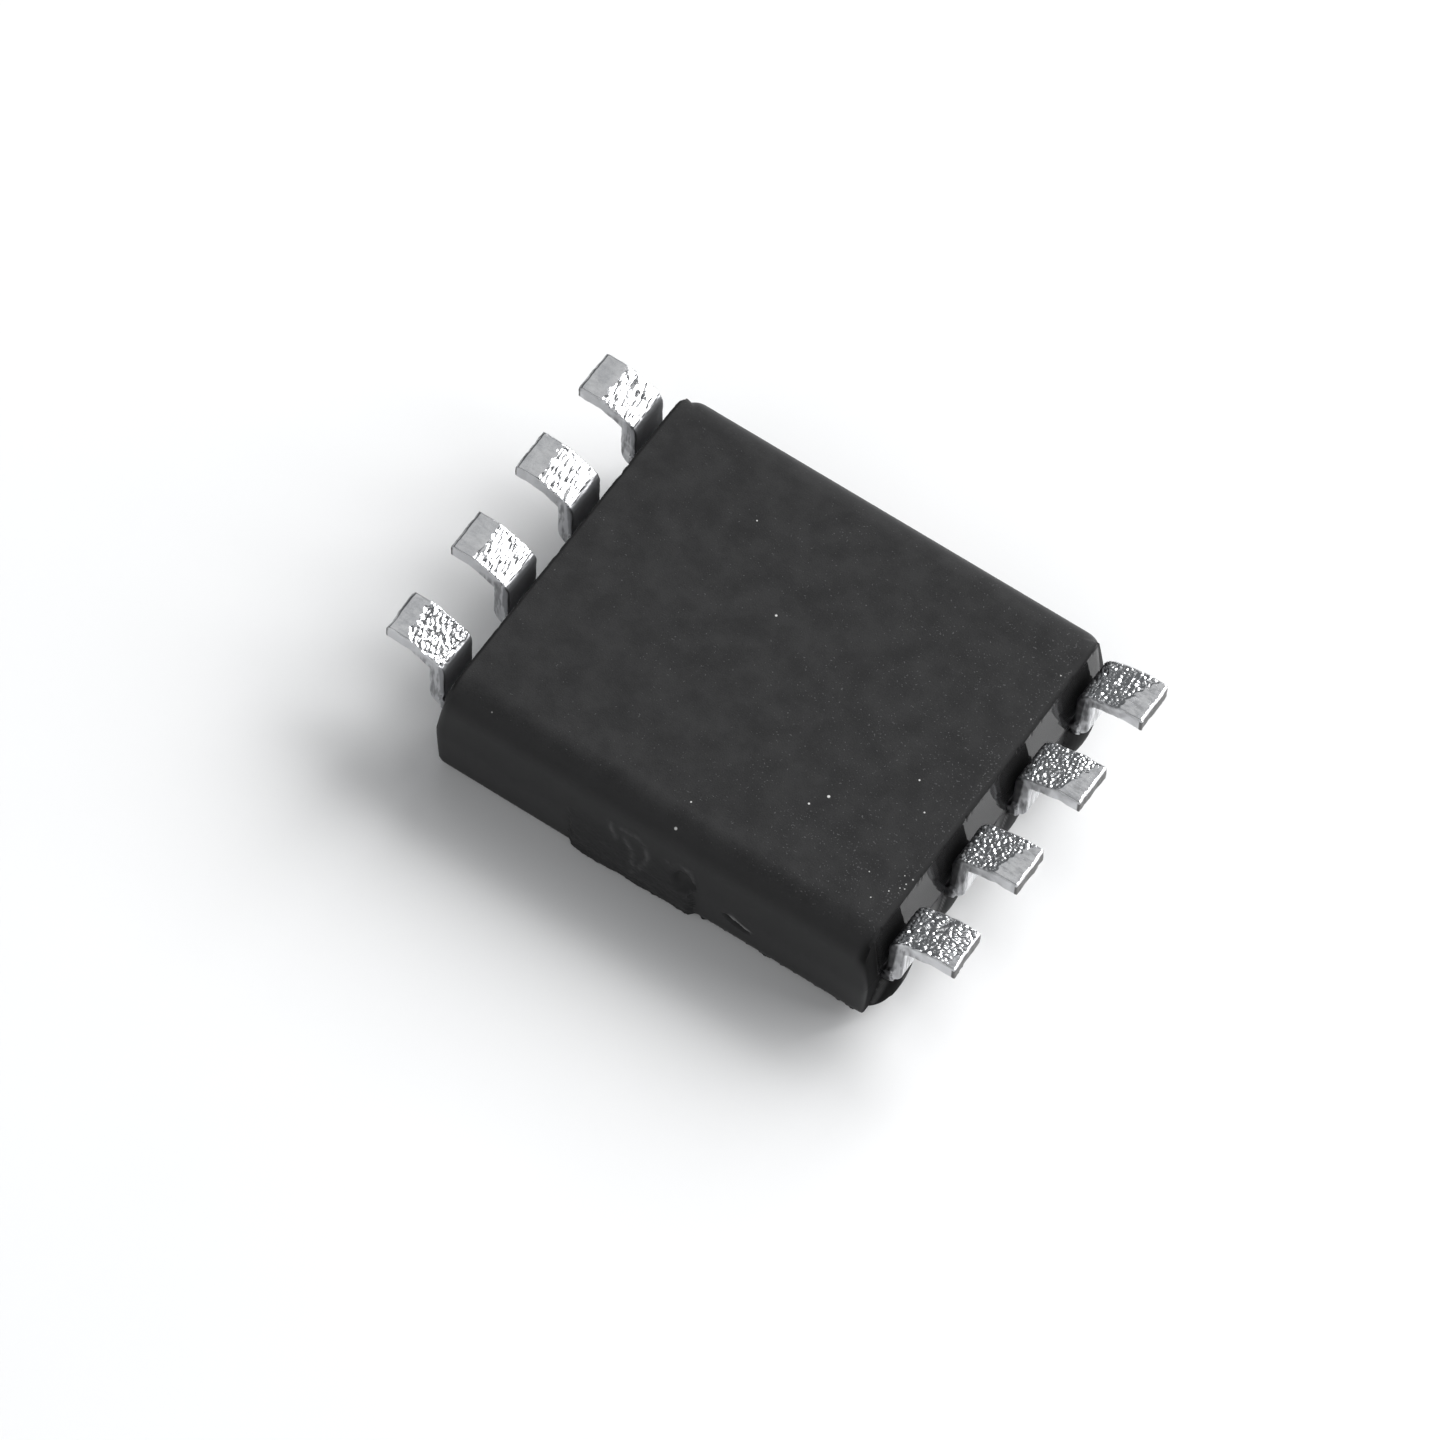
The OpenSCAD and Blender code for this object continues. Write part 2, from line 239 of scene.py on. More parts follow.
# moulding compound: matte faces, satin ends, polished lead-side walls, a dull broken gate; painted light
# lifts the shaded walls off the face, and painted shade darkens the face's side edges and the near-right
# upright corner
compoundFinish = {
    "dark": (0.0215, 0.0215, 0.0222, 1), "light": (0.0345, 0.0345, 0.0352, 1),
    # end is painted light: a lighter tone for the walls off the face, which stand in shade
    "wall": (0.025, 0.025, 0.0257, 1), "filler": (0.105, 0.105, 0.108, 1), "end": (0.035, 0.035, 0.0357, 1),
    # the brow tone is painted shade: it darkens the face's side edges so they show no highlight
    "dust": (0.62, 0.62, 0.61, 1), "torn": (0.32, 0.32, 0.32, 1), "paintedBrowShade": (0.017, 0.017, 0.0175, 1),
    # the corner tone is painted shade: it blackens the near-right upright corner over its reflection of the
    # floor
    "corner": (0.009, 0.009, 0.0093, 1),
    "faceRough": 0.60, "endRough": 0.46, "wallRough": 0.045, "gateRough": 0.60, "lowRough": 0.34,
    "lumpRough": 0.60, "cornerRough": 0.85, "roughSpread": 0.14, "ior": 1.205,
    "grainSize": 0.020, "grainDepth": 0.0020, "lightFrom": (0.30, 0.70), "endShare": 0.75,
    "grainShare": (0.8, 0.2),  # added on the underside, and everywhere
    # where each zone starts to show and is full, or the other way round, in mm
    "faceFrom": (1.47, 1.585), "wallFrom": (2.765, 2.79), "wallEnds": (2.255, 2.28),
    "wallFoot": (0.78, 0.86), "wallTop": (1.545, 1.562),
    "lowFrom": (2.66, 2.74), "lowTop": (0.90, 0.80), "lowEnds": (2.505, 2.455), "lumpFrom": (2.915, 2.945),
    "cornerFrom": (2.68, 2.82), "cornerEnds": (2.22, 2.30), "lowCorner": (2.00, 2.10),
    "nearEnd": (-2.0, -2.1),
    "browFrom": (2.755, 2.785), "browFoot": (1.50, 1.54),
    "gateFrom": (-2.46, -2.50), "gateTop": (1.10, 0.80),
    "gateLeft": (-1.15, -1.0), "gateRight": (0.75, 0.55),
    # pale filler grains in patches, more of them towards the worn right-hand edge
    "fillerSize": 0.024, "fillerDetail": 1.5, "patchSize": 0.6, "patchDetail": 3.0, "patchRough": 0.6,
    "fillerLevel": (-0.14, 0.785), "fillerFade": 0.07, "fillerShare": (0.6, 0.06),
    "wornFrom": (2.35, 2.80), "wornMore": 0.05, "rightFrom": (-2.8, 2.8), "rightMore": 0.05,
    # dust as x, y, z and size
    "flecks": [(-2.26, -2.32, 1.54, 0.022), (0.23, -2.35, 1.50, 0.024), (1.42, -1.09, 1.6, 0.022),
               (1.29, -1.29, 1.6, 0.016), (-0.34, 0.50, 1.6, 0.018), (2.40, -0.65, 1.6, 0.013),
               (0.21, -2.02, 1.6, 0.013), (2.13, -0.34, 1.6, 0.014), (-1.20, 1.40, 1.6, 0.012),
               (2.72, -1.66, 1.59, 0.013), (2.75, -1.58, 1.59, 0.016), (2.76, -1.43, 1.59, 0.016),
               (2.70, -1.60, 1.6, 0.009), (2.73, -1.52, 1.6, 0.010), (2.66, -1.44, 1.6, 0.008),
               (2.77, -1.36, 1.58, 0.010), (2.74, -1.30, 1.59, 0.008), (2.62, -1.70, 1.6, 0.010),
               (2.80, -1.11, 1.57, 0.010), (2.79, 0.06, 1.57, 0.012), (2.72, 1.02, 1.59, 0.014),
               (2.69, 1.68, 1.6, 0.010), (2.50, -1.88, 1.6, 0.010), (2.31, -1.62, 1.6, 0.009)],
}


def makeCompound():
    s = compoundFinish
    material, tree, shader, place = startMaterial("mouldCompound")
    axes = addNode(tree, "SeparateXYZ", {"Vector": place}).outputs
    sideways, endways = doMath(tree, "ABSOLUTE", axes["X"]), doMath(tree, "ABSOLUTE", axes["Y"])
    grain = useGroup(tree, fineGrain, {"Place": place, "Size": s["grainSize"]})
    # the torn attribute is pale torn resin on the gate's ridges and the chip's lip, and a painted highlight
    # along the lumps' near edges
    torn = addNode(tree, "Attribute", attribute_name="torn").outputs["Fac"]
    # zones
    onFace = fade(tree, axes["Z"], *s["faceFrom"])
    offFace = inverse(tree, onFace)
    onWall = both(tree, fade(tree, sideways, *s["wallFrom"]), fade(tree, endways, *s["wallEnds"], 1.0, 0.0),
                  fade(tree, axes["Z"], *s["wallFoot"]), fade(tree, axes["Z"], *s["wallTop"], 1.0, 0.0))
    offEnd = fade(tree, endways, *s["lowEnds"])
    below = both(tree, fade(tree, axes["Z"], *s["lowTop"]), fade(tree, sideways, *s["lowFrom"]), offEnd)
    onLump = both(tree, below, fade(tree, sideways, *s["lumpFrom"]))
    upper = both(tree, fade(tree, axes["X"], *s["cornerFrom"]), fade(tree, endways, *s["cornerEnds"]),
                 offEnd)
    onCorner = either(tree, upper, both(tree, below, fade(tree, endways, *s["lowCorner"])))
    # painted shade on the near-right upright corner, below the face
    shadedNearCorner = both(tree, onCorner, fade(tree, axes["Y"], *s["nearEnd"]), offFace)
    # painted shade along the face's side edges
    onShadedBrow = both(tree, fade(tree, sideways, *s["browFrom"]), fade(tree, axes["Z"], *s["browFoot"]))
    onGate = both(tree, fade(tree, axes["Y"], *s["gateFrom"]), fade(tree, axes["Z"], *s["gateTop"]),
                  fade(tree, axes["X"], *s["gateLeft"]), fade(tree, axes["X"], *s["gateRight"]))
    # filler grains show where the noise stands above a level
    fillers = cloudy(tree, place, s["fillerSize"], s["fillerDetail"])
    patches = cloudy(tree, place, s["patchSize"], s["patchDetail"], s["patchRough"])
    worn = both(tree, fade(tree, axes["X"], *s["wornFrom"]), onFace)
    toRight = fade(tree, axes["X"], *s["rightFrom"], 0.0, s["rightMore"])
    level = doMath(tree, "MULTIPLY_ADD", patches, *s["fillerLevel"])
    level = doMath(tree, "SUBTRACT", level, doMath(tree, "MULTIPLY_ADD", worn, s["wornMore"], toRight))
    shown = fade(tree, doMath(tree, "SUBTRACT", fillers, level), 0.0, s["fillerFade"])
    paler = both(tree, shown, doMath(tree, "MULTIPLY_ADD", onFace, *s["fillerShare"]))
    # tones, each laid over the last
    tone = blendTone(tree, fade(tree, grain["Tone"], *s["lightFrom"]), s["dark"], s["light"])
    # the end tone is painted light: it lifts the walls off the face, which sit in shade, to a lighter tone
    tones = ((both(tree, offFace, s["endShare"]), "end"), (paler, "filler"), (onShadedBrow, "paintedBrowShade"),
             (either(tree, onWall, below), "wall"), (shadedNearCorner, "corner"), (torn, "torn"))
    for mask, name in tones:
        tone = blendTone(tree, mask, tone, s[name])
    for x, y, z, size in s["flecks"]:
        fleck = useGroup(tree, dustFleck, {"Place": place, "Spot": (x, y, z), "Size": size})
        tone = blendTone(tree, fleck["Mask"], tone, s["dust"])
    tree.links.new(tone, shader.inputs["Base Color"])
    rough = blendValue(tree, onFace, s["endRough"], s["faceRough"])
    swing = doMath(tree, "SUBTRACT", grain["Tone"], 0.5)
    rough = doMath(tree, "MULTIPLY_ADD", swing, s["roughSpread"], rough)
    finishes = ((onGate, "gateRough"), (below, "lowRough"), (onLump, "lumpRough"),
                (both(tree, onCorner, offFace), "cornerRough"), (onWall, "wallRough"))
    for mask, name in finishes:
        rough = blendValue(tree, mask, rough, s[name])
    tree.links.new(rough, shader.inputs["Roughness"])
    matte = both(tree, inverse(tree, onWall), doMath(tree, "MULTIPLY_ADD", onFace, *s["grainShare"]))
    height = both(tree, grain["Height"], matte)
    tree.links.new(addBump(tree, height, s["grainDepth"]), shader.inputs["Normal"])
    shader.inputs["IOR"].default_value = s["ior"]
    return material


# tin plating: wrinkled heels, pressed soles, streaked legs, bare sheared ends, painted shade on the legs'
# inner faces
tinFinish = {
    "bright": (0.86, 0.865, 0.875, 1), "grey": (0.66, 0.67, 0.69, 1), "side": (0.62, 0.625, 0.64, 1),
    # shade and the deeper tone after it are painted shade for the legs' inner faces toward the case
    "streak": (0.20, 0.20, 0.21, 1), "sheared": (0.08, 0.077, 0.074, 1), "shade": (0.34, 0.345, 0.36, 1),
    "paintedDeepShade": (0.10, 0.10, 0.105, 1), "scuff": (0.36, 0.365, 0.375, 1),
    "heelRough": 0.07, "soleRough": 0.09, "legRough": 0.20, "sideRough": 0.36, "endRough": 0.46,
    "innerRough": 0.50, "roughSpread": 0.10,
    "foldSize": 0.022, "foldDepth": 0.002, "grainSize": 0.012, "grainDepth": 0.0004, "grainStrength": 0.8,
    "drawn": {"Along": (0.5, 1.0, 0.07), "Size": 0.03}, "rubbed": {"Along": (0.45, 1.0, 1.0), "Size": 0.07},
    "greyFrom": (0.35, 0.68), "scuffFrom": (0.40, 0.75), "scoreFrom": (0.44, 0.62),
    "sideShare": 0.85, "scoreShare": 0.75, "tipShare": 0.75, "endShare": 0.9,
    "scuffShare": (0.35, 0.25),  # added on the right-hand row, and on both
    # where each zone starts to show and is full, in mm; the sides repeat at the leads' pitch
    "pitch": 1.27, "sideFrom": (0.262, 0.276), "endFrom": (3.750, 3.768), "endTop": (1.724, 1.712),
    "tipFrom": (-3.735, -3.775), "tipFoot": (1.66, 1.70), "soleFrom": (1.70, 1.725), "legFrom": (1.60, 1.48),
    "rightFrom": (-0.5, 0.5), "innerFace": (3.03, 3.00), "parting": 0.78, "lean": 0.07,
}


def makeTin():
    s = tinFinish
    material, tree, shader, place = startMaterial("tinPlating")
    axes = addNode(tree, "SeparateXYZ", {"Vector": place}).outputs
    outward = doMath(tree, "ABSOLUTE", axes["X"])
    half = s["pitch"] / 2
    across = doMath(tree, "WRAP", doMath(tree, "ADD", axes["Y"], half), half, -half)
    grain = useGroup(tree, fineGrain, {"Place": place, "Size": s["grainSize"]})
    drawn = useGroup(tree, drawnStreaks, {"Place": place, **s["drawn"]})["Height"]
    rubbed = useGroup(tree, drawnStreaks, {"Place": place, **s["rubbed"]})["Height"]
    wrinkled = addNode(tree, "Attribute", attribute_name="wrinkled").outputs["Fac"]
    # zones
    onRight = fade(tree, axes["X"], *s["rightFrom"])
    onSide = fade(tree, doMath(tree, "ABSOLUTE", across), *s["sideFrom"])
    onEnd = both(tree, fade(tree, outward, *s["endFrom"]), fade(tree, axes["Z"], *s["endTop"]))
    onTip = both(tree, fade(tree, axes["X"], *s["tipFrom"]), fade(tree, axes["Z"], *s["tipFoot"]))
    onLeg = fade(tree, axes["Z"], *s["legFrom"])
    rise = doMath(tree, "SUBTRACT", axes["Z"], s["parting"])
    upright = doMath(tree, "MULTIPLY_ADD", rise, -s["lean"], outward)
    onInner = both(tree, onLeg, fade(tree, upright, *s["innerFace"]))
    onSole = both(tree, fade(tree, axes["Z"], *s["soleFrom"]), inverse(tree, onSide),
                  inverse(tree, wrinkled))
    scuffed = both(tree, fade(tree, rubbed, *s["scuffFrom"]), onSole,
                   doMath(tree, "MULTIPLY_ADD", onRight, *s["scuffShare"]))
    scored = both(tree, onLeg, fade(tree, drawn, *s["scoreFrom"]), s["scoreShare"])
    # tones, each laid over the last
    plate = blendTone(tree, fade(tree, grain["Tone"], *s["greyFrom"]), s["bright"], s["grey"])
    tones = ((both(tree, onSide, s["sideShare"]), s["side"]), (scuffed, s["scuff"]), (scored, s["streak"]),
             # painted shade on the legs' inner faces toward the case, deeper on the right-hand row
             (onInner, blendTone(tree, onRight, s["shade"], s["paintedDeepShade"])),
             # a darker band along the left-hand row's tip edge, laid in the streak tone
             (both(tree, onTip, s["tipShare"]), s["streak"]),
             (both(tree, onEnd, s["endShare"]), s["sheared"]))
    for mask, tone in tones:
        plate = blendTone(tree, mask, plate, tone)
    tree.links.new(plate, shader.inputs["Base Color"])
    rough = blendValue(tree, wrinkled, s["soleRough"], s["heelRough"])
    finishes = ((onLeg, "legRough"), (onInner, "innerRough"), (onSide, "sideRough"), (onEnd, "endRough"))
    for mask, name in finishes:
        rough = blendValue(tree, mask, rough, s[name])
    rough = doMath(tree, "MULTIPLY_ADD", grain["Tone"], s["roughSpread"], rough)
    tree.links.new(rough, shader.inputs["Roughness"])
    shader.inputs["Metallic"].default_value = 1.0
    folds = doMath(tree, "ABSOLUTE", doMath(tree, "SUBTRACT", cloudy(tree, place, s["foldSize"], 1.0), 0.5))
    folded = addBump(tree, both(tree, folds, wrinkled), s["foldDepth"])
    lines = both(tree, doMath(tree, "ADD", grain["Height"], drawn), inverse(tree, onInner))
    lined = addBump(tree, lines, s["grainDepth"], Strength=s["grainStrength"], Normal=folded)
    tree.links.new(lined, shader.inputs["Normal"])
    return material


# sealed inner pieces: copper pad, silver-filled glue, silicon, gold wire
innerFinish = {
    "frameCopper": {"low": (0.34, 0.18, 0.11, 1), "high": (0.58, 0.35, 0.24, 1), "metal": 1.0,
                    "rough": (0.28, 0.48), "size": 0.05, "depth": 0.002, "along": (1.0, 0.08, 1.0)},
    "dieGlue": {"low": (0.40, 0.40, 0.38, 1), "high": (0.62, 0.62, 0.60, 1), "metal": 0.0,
                "rough": (0.45, 0.7), "size": 0.02, "depth": 0.003, "along": (1.0, 1.0, 1.0)},
    "polishedSilicon": {"low": (0.10, 0.11, 0.14, 1), "high": (0.17, 0.18, 0.22, 1), "metal": 0.4,
                        "rough": (0.08, 0.2), "size": 0.06, "depth": 0.0005, "along": (1.0, 0.2, 1.0)},
    "goldWire": {"low": (0.78, 0.52, 0.18, 1), "high": (0.95, 0.70, 0.32, 1), "metal": 1.0,
                 "rough": (0.15, 0.3), "size": 0.015, "depth": 0.0006, "along": (0.3, 1.0, 1.0)},
}
innerMix = (0.7, 1.3)  # sum of grain and streaks where the high tone starts and is full


def makeInner(name):
    s = innerFinish[name]
    material, tree, shader, place = startMaterial(name)
    grain = useGroup(tree, fineGrain, {"Place": place, "Size": s["size"]})
    streak = useGroup(tree, drawnStreaks, {"Place": place, "Along": s["along"], "Size": s["size"]})
    mixed = fade(tree, doMath(tree, "ADD", grain["Tone"], streak["Height"]), *innerMix)
    tree.links.new(blendTone(tree, mixed, s["low"], s["high"]), shader.inputs["Base Color"])
    tree.links.new(blendValue(tree, mixed, s["rough"][1], s["rough"][0]), shader.inputs["Roughness"])
    shader.inputs["Metallic"].default_value = s["metal"]
    tree.links.new(addBump(tree, streak["Height"], s["depth"]), shader.inputs["Normal"])
    return material


mouldCompound, tinPlating = makeCompound(), makeTin()
innerMaterials = {name: makeInner(name) for name in innerFinish}
print("materials made")


# mesh helpers
tiny = 1e-5  # mm, tells which points lie on a side of the starting box
onCut = 1e-8  # m, points this near to a cut lie on it
merging = 1e-7  # m, points this near to each other become one
facing = 0.9  # least share of a normal along an axis for a face to look that way


def keepPiece(bm, name, material, node, sharpAngle):
    mesh = bpy.data.meshes.new(name)
    bm.to_mesh(mesh)
    bm.free()
    mesh.polygons.foreach_set("use_smooth", [True] * len(mesh.polygons))
    mesh.set_sharp_from_angle(angle=math.radians(sharpAngle))
    mesh.materials.append(material)
    piece = bpy.data.objects.new(name, mesh)
    scene.collection.objects.link(piece)
    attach(piece, "root")
    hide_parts(node)


def everything(bm):
    return bm.verts[:] + bm.edges[:] + bm.faces[:]


def edgesOf(faces):  # each once, in the order of the faces
    return list(dict.fromkeys(e for f in faces for e in f.edges))


def vertsOf(faces):
    return list(dict.fromkeys(v for f in faces for v in f.verts))


def withBounds(faces):
    return faces + edgesOf(faces) + vertsOf(faces)


def cutAcross(bm, axis, places):
    normal = Vector((0.0, 0.0, 0.0))
    normal[axis] = 1.0
    for place in places:
        spot = normal * place * mm
        bmesh.ops.bisect_plane(bm, geom=everything(bm), plane_co=spot, plane_no=normal, dist=onCut)


def evenly(start, end, count):
    return [start + (end - start) * k / count for k in range(1, count)]


def refine(bm, cuts, wanted):  # cuts the faces whose normal and middle are wanted
    faces = [f for f in bm.faces if wanted(f.normal, f.calc_center_median() / mm)]
    bmesh.ops.subdivide_edges(bm, edges=edgesOf(faces), cuts=cuts, use_grid_fill=True)


def roundEdge(a, b, endA, endB, radius):  # takes the square edge where a and b end onto an arc
    a, b = a - (endA - radius), b - (endB - radius)
    if a > 0 and b > 0:
        share = max(a, b) / math.hypot(a, b)
        a, b = a * share, b * share
    return a + endA - radius, b + endB - radius


def ease(value, start, end):
    t = min(1.0, max(0.0, (value - start) / (end - start)))
    return t * t * (3 - 2 * t)


def hump(distance, width):
    return math.exp(-(distance / width) ** 2)


def wave(x, y, z):
    return noise.noise(Vector((x, y, z)))


def uneven(setting, u, v=0.0):  # the setting holds an amount, waves per mm and a layer of the noise
    amount, often, layer = setting
    return amount * wave(u * often, layer, v * often)


# moulded case: drafted both ways from the parting line, broad end edges, broken gate on the near end
caseForm = {
    "width": 5.82, "length": 5.08, "height": 1.6, "parting": 0.78, "sharp": 38.0,
    "underDraft": 7.0, "markingDraft": 3.0, "softParting": 0.10, "softCorner": 0.12, "softReach": 0.45,
    "endEdge": 0.36, "sideEdge": 0.05, "markingEdge": 0.175,
    "nearEdge": (0.22, 0.31), "nearEdgeFrom": (-1.0, 1.2), "rightEdge": 0.26, "rightEdgeFrom": (1.5, 2.4),
    "corner": 0.26, "nearLeftCorner": 0.12, "nearRightCorner": 0.06,
    "partingLip": 0.006, "lipLeast": 0.4, "lipOften": 6.0,
    "edgeWear": 0.022, "wearFrom": (1.48, 1.58), "wearLess": 0.12, "wearOften": (7.0, 19.0),
    "dimple": 0.8, "dimpleDepth": 0.06, "dimpleWall": 0.035, "dimpleAt": (-2.09, -1.72),
    # the break, and how softly its edges run out
    "gateLeft": -1.04, "gateRight": 0.64, "gateTop": 0.98, "gateBottom": 0.10,
    "softLeft": (-0.04, 0.10), "softRight": 0.10, "softTop": 0.55, "softBottom": 0.07,
    "gateProud": 0.062, "gateFlow": 0.020, "flowScale": (4.0, 0.7, 6.0), "flowNoise": (0.8, 2.1, 5),
    "gateRagged": 0.04, "gateTears": (1.0, 9.0, 3.1), "gateTeeth": (0.6, 28.0, 9.6), "lowRagged": 0.9,
    "pit": (0.48, 0.82, 0.19, 0.085), "pitCore": 0.3, "pitTears": (0.05, 8.0, 1.3),  # x, z, reach, depth
    # thin flash at the lower edge
    "skirt": 0.024, "skirtFrom": (-0.4, 0.6), "skirtAt": 0.075, "skirtTall": 0.035, "skirtFull": 0.4,
    "skirtTears": (1.0, 6.0, 5.0), "skirtTeeth": (0.9, 17.0, 2.0),
    # flow ridges left where the runner tore off, as chains of x, z
    "ridgeHeight": 0.014, "ridgeWidth": 0.038, "ridgeX": (-0.7, 0.8), "ridgeZ": (0.3, 1.25),
    "ridgeSway": (0.03, 7.0, 2.0), "ridgeFull": 0.55, "ridgeWaves": (0.9, 5.0, 8.0),
    "ridgeTeeth": (0.5, 21.0, 8.0),
    "ridges": [[(-0.53, 1.08), (-0.50, 1.00), (-0.43, 0.89)],
               [(-0.37, 1.10), (-0.20, 1.11), (-0.07, 1.05), (0.00, 0.88), (-0.05, 0.62), (-0.18, 0.42)],
               [(-0.33, 0.96), (-0.20, 0.82), (-0.16, 0.60)],
               [(0.27, 1.00), (0.42, 1.08), (0.56, 1.06), (0.61, 0.92)]],
    "paleRidge": 0.15, "paleLip": 0.75,
    # loops of the starting box
    "acrossLoops": 24, "cornerLoops": 7, "alongLoops": 44, "endLoops": 12, "lowLoops": 10, "wallLoops": 7,
    "topLoops": 10, "sideLoops": 4,
    # where the mesh is finer
    "gateZone": (-1.4, 1.7), "gateZoneTop": 1.22, "skirtZone": 2.8, "skirtZoneTop": 0.25,
    "lumpZone": 0.45, "lumpZoneTop": 0.85, "dimpleZone": 0.52,
}
# chip broken out beside the gate, with a torn lip above it
chipForm = {
    "at": (1.20, 0.58), "half": 0.22, "tall": 0.085, "core": 0.45, "depth": 0.08, "slant": (0.3, 0.32),
    "lipAt": (0.03, 0.075), "lipReach": (0.4, 0.9), "lipProud": 0.016,
    "lipThick": 0.018, "lipMore": 0.022, "moreFrom": (-0.05, 0.12),
}


def awayFrom(chain, x, z):  # distance to a chain of points on the wall
    spot, nearest = Vector((x, z)), math.inf
    for start, end in zip(chain, chain[1:]):
        a, run = Vector(start), Vector(end) - Vector(start)
        share = min(1.0, max(0.0, (spot - a).dot(run) / run.length_squared))
        nearest = min(nearest, (spot - a - run * share).length)
    return nearest


def ridgeAt(x, z):
    s = caseForm
    (left, right), (low, high) = s["ridgeX"], s["ridgeZ"]
    if not (left < x < right and low < z < high):
        return 0.0
    shift = uneven(s["ridgeSway"], x, z)
    fullness = s["ridgeFull"] + uneven(s["ridgeWaves"], x, z) + uneven(s["ridgeTeeth"], x, z)
    nearest = min(awayFrom(chain, x + shift, z - shift) for chain in s["ridges"])
    return max(0.0, fullness) * hump(nearest, s["ridgeWidth"])


def chipAt(x, z):  # how deep inside the chip, and how near its upper lip
    s = chipForm
    dx, dz, half = x - s["at"][0], z - s["at"][1], s["half"]
    along, over = dx - dz * s["slant"][0], dz + dx * s["slant"][1]
    bite = 1.0 - ease(math.hypot(along / half, over / s["tall"]), s["core"], 1.0)
    thick = s["lipThick"] + s["lipMore"] * ease(-along, *s["moreFrom"])
    ends = ease(abs(along - s["lipAt"][0]), half * s["lipReach"][0], half * s["lipReach"][1])
    return bite, hump(over - s["lipAt"][1], thick) * (1.0 - ends)


def gateRelief(x, z):
    s = caseForm
    ragged = s["gateRagged"] * (uneven(s["gateTears"], x, z) + uneven(s["gateTeeth"], x, z))
    inside = min(ease(x + ragged, s["gateLeft"] + s["softLeft"][0], s["gateLeft"] + s["softLeft"][1]),
                 ease(s["gateRight"] - x + ragged, 0.0, s["softRight"]),
                 ease(s["gateTop"] - z + ragged, 0.0, s["softTop"]),
                 ease(z + s["lowRagged"] * ragged, s["gateBottom"] - s["softBottom"], s["gateBottom"]))
    alongX, layer, alongZ = s["flowScale"]
    flow = noise.fractal(Vector((x * alongX, layer, z * alongZ)), *s["flowNoise"])
    relief = inside * (s["gateProud"] + s["gateFlow"] * flow) + s["ridgeHeight"] * ridgeAt(x, z)
    px, pz, reach, depth = s["pit"]
    away = math.hypot(x - px, z - pz) + uneven(s["pitTears"], x, z)
    relief -= depth * (1.0 - ease(away, reach * s["pitCore"], reach))
    bite, lip = chipAt(x, z)
    return relief - chipForm["depth"] * bite + chipForm["lipProud"] * lip


perRow = 4  # leads count up one row and back down the other


def rowPlace(number):  # in pitches from the row's middle
    return (number - 1 if number <= perRow else 2 * perRow - number) - (perRow - 1) / 2


# resin squeezed out below the right-hand leads' roots, with a painted highlight line along its near edge
lumpForm = {
    "reach": {5: 0.19, 6: 0.09, 7: 0.10, 8: 0.20}, "halfWidth": 0.22, "top": 0.76, "topFade": 0.02,
    "low": {5: 0.08, 6: 0.08, 7: 0.08, 8: 0.20}, "full": {5: 2.0, 6: 2.0, 7: 2.0, 8: 3.0},
    "slant": {5: 0.24, 6: 0.24, 7: 0.24, 8: 0.52}, "slantFrom": 0.60,
    "leadGap": (0.03, 0.005), "leadDrop": 0.10,  # the resin stays lower below the lead itself
    "paintedGlint": {5: 0.0, 6: 0.5, 7: 0.5, 8: 0.3}, "paintedGlintAt": 0.004, "paintedGlintWidth": 0.008,
    "paintedGlintFoot": (0.20, 0.32), "paintedGlintTop": (0.66, 0.60),
    "pitch": 1.27, "leadHalf": 0.285,
}


def leadFlank(number):  # the near side of a right-hand lead
    return rowPlace(number) * lumpForm["pitch"] - lumpForm["leadHalf"]


def lumpAt(y, z):  # how far the resin stands out, and how strong the painted highlight line along its near edge is here
    s = lumpForm
    out = paintedGlint = 0.0
    for number, most in s["reach"].items():
        flank = leadFlank(number)
        edge = flank - s["leadGap"][0]
        inward = y - (edge - s["slant"][number] * (s["slantFrom"] - z))
        dome = math.sqrt(max(0.0, 1.0 - abs(inward / s["halfWidth"] - 1.0) ** s["full"][number]))
        top = s["top"] - s["leadDrop"] * ease(y, edge, flank - s["leadGap"][1])
        drop = min(1.0, max(0.0, (top - z) / (top - s["low"][number])))
        fall = math.sqrt(1.0 - drop ** s["full"][number]) * ease(top + s["topFade"] - z, 0.0, s["topFade"])
        out = max(out, most * dome * fall)
        line = hump(inward - s["paintedGlintAt"], s["paintedGlintWidth"]) * ease(z, *s["paintedGlintFoot"])
        line *= ease(z, *s["paintedGlintTop"])
        paintedGlint = max(paintedGlint, s["paintedGlint"][number] * line)
    return out, paintedGlint


def paleTornAndGlintAt(p):  # pale torn resin on the gate's ridges and the chip's lip, and a painted highlight line along the lumps' near edges
    s = caseForm
    x, y, z = p / mm
    if y < -s["length"] / 2 + tiny:
        return min(1.0, s["paleRidge"] * ridgeAt(x, z) + s["paleLip"] * chipAt(x, z)[1])
    if x > s["width"] / 2 - tiny:
        return lumpAt(y, z)[1]
    return 0.0


def draftAt(z, soft):  # how far the wall stands in from the parting line's outline
    s = caseForm
    rise, drop = z - s["parting"], s["parting"] - z
    up = (rise + math.hypot(rise, soft)) / 2 * math.tan(math.radians(s["underDraft"]))
    return up + (drop + math.hypot(drop, soft)) / 2 * math.tan(math.radians(s["markingDraft"]))


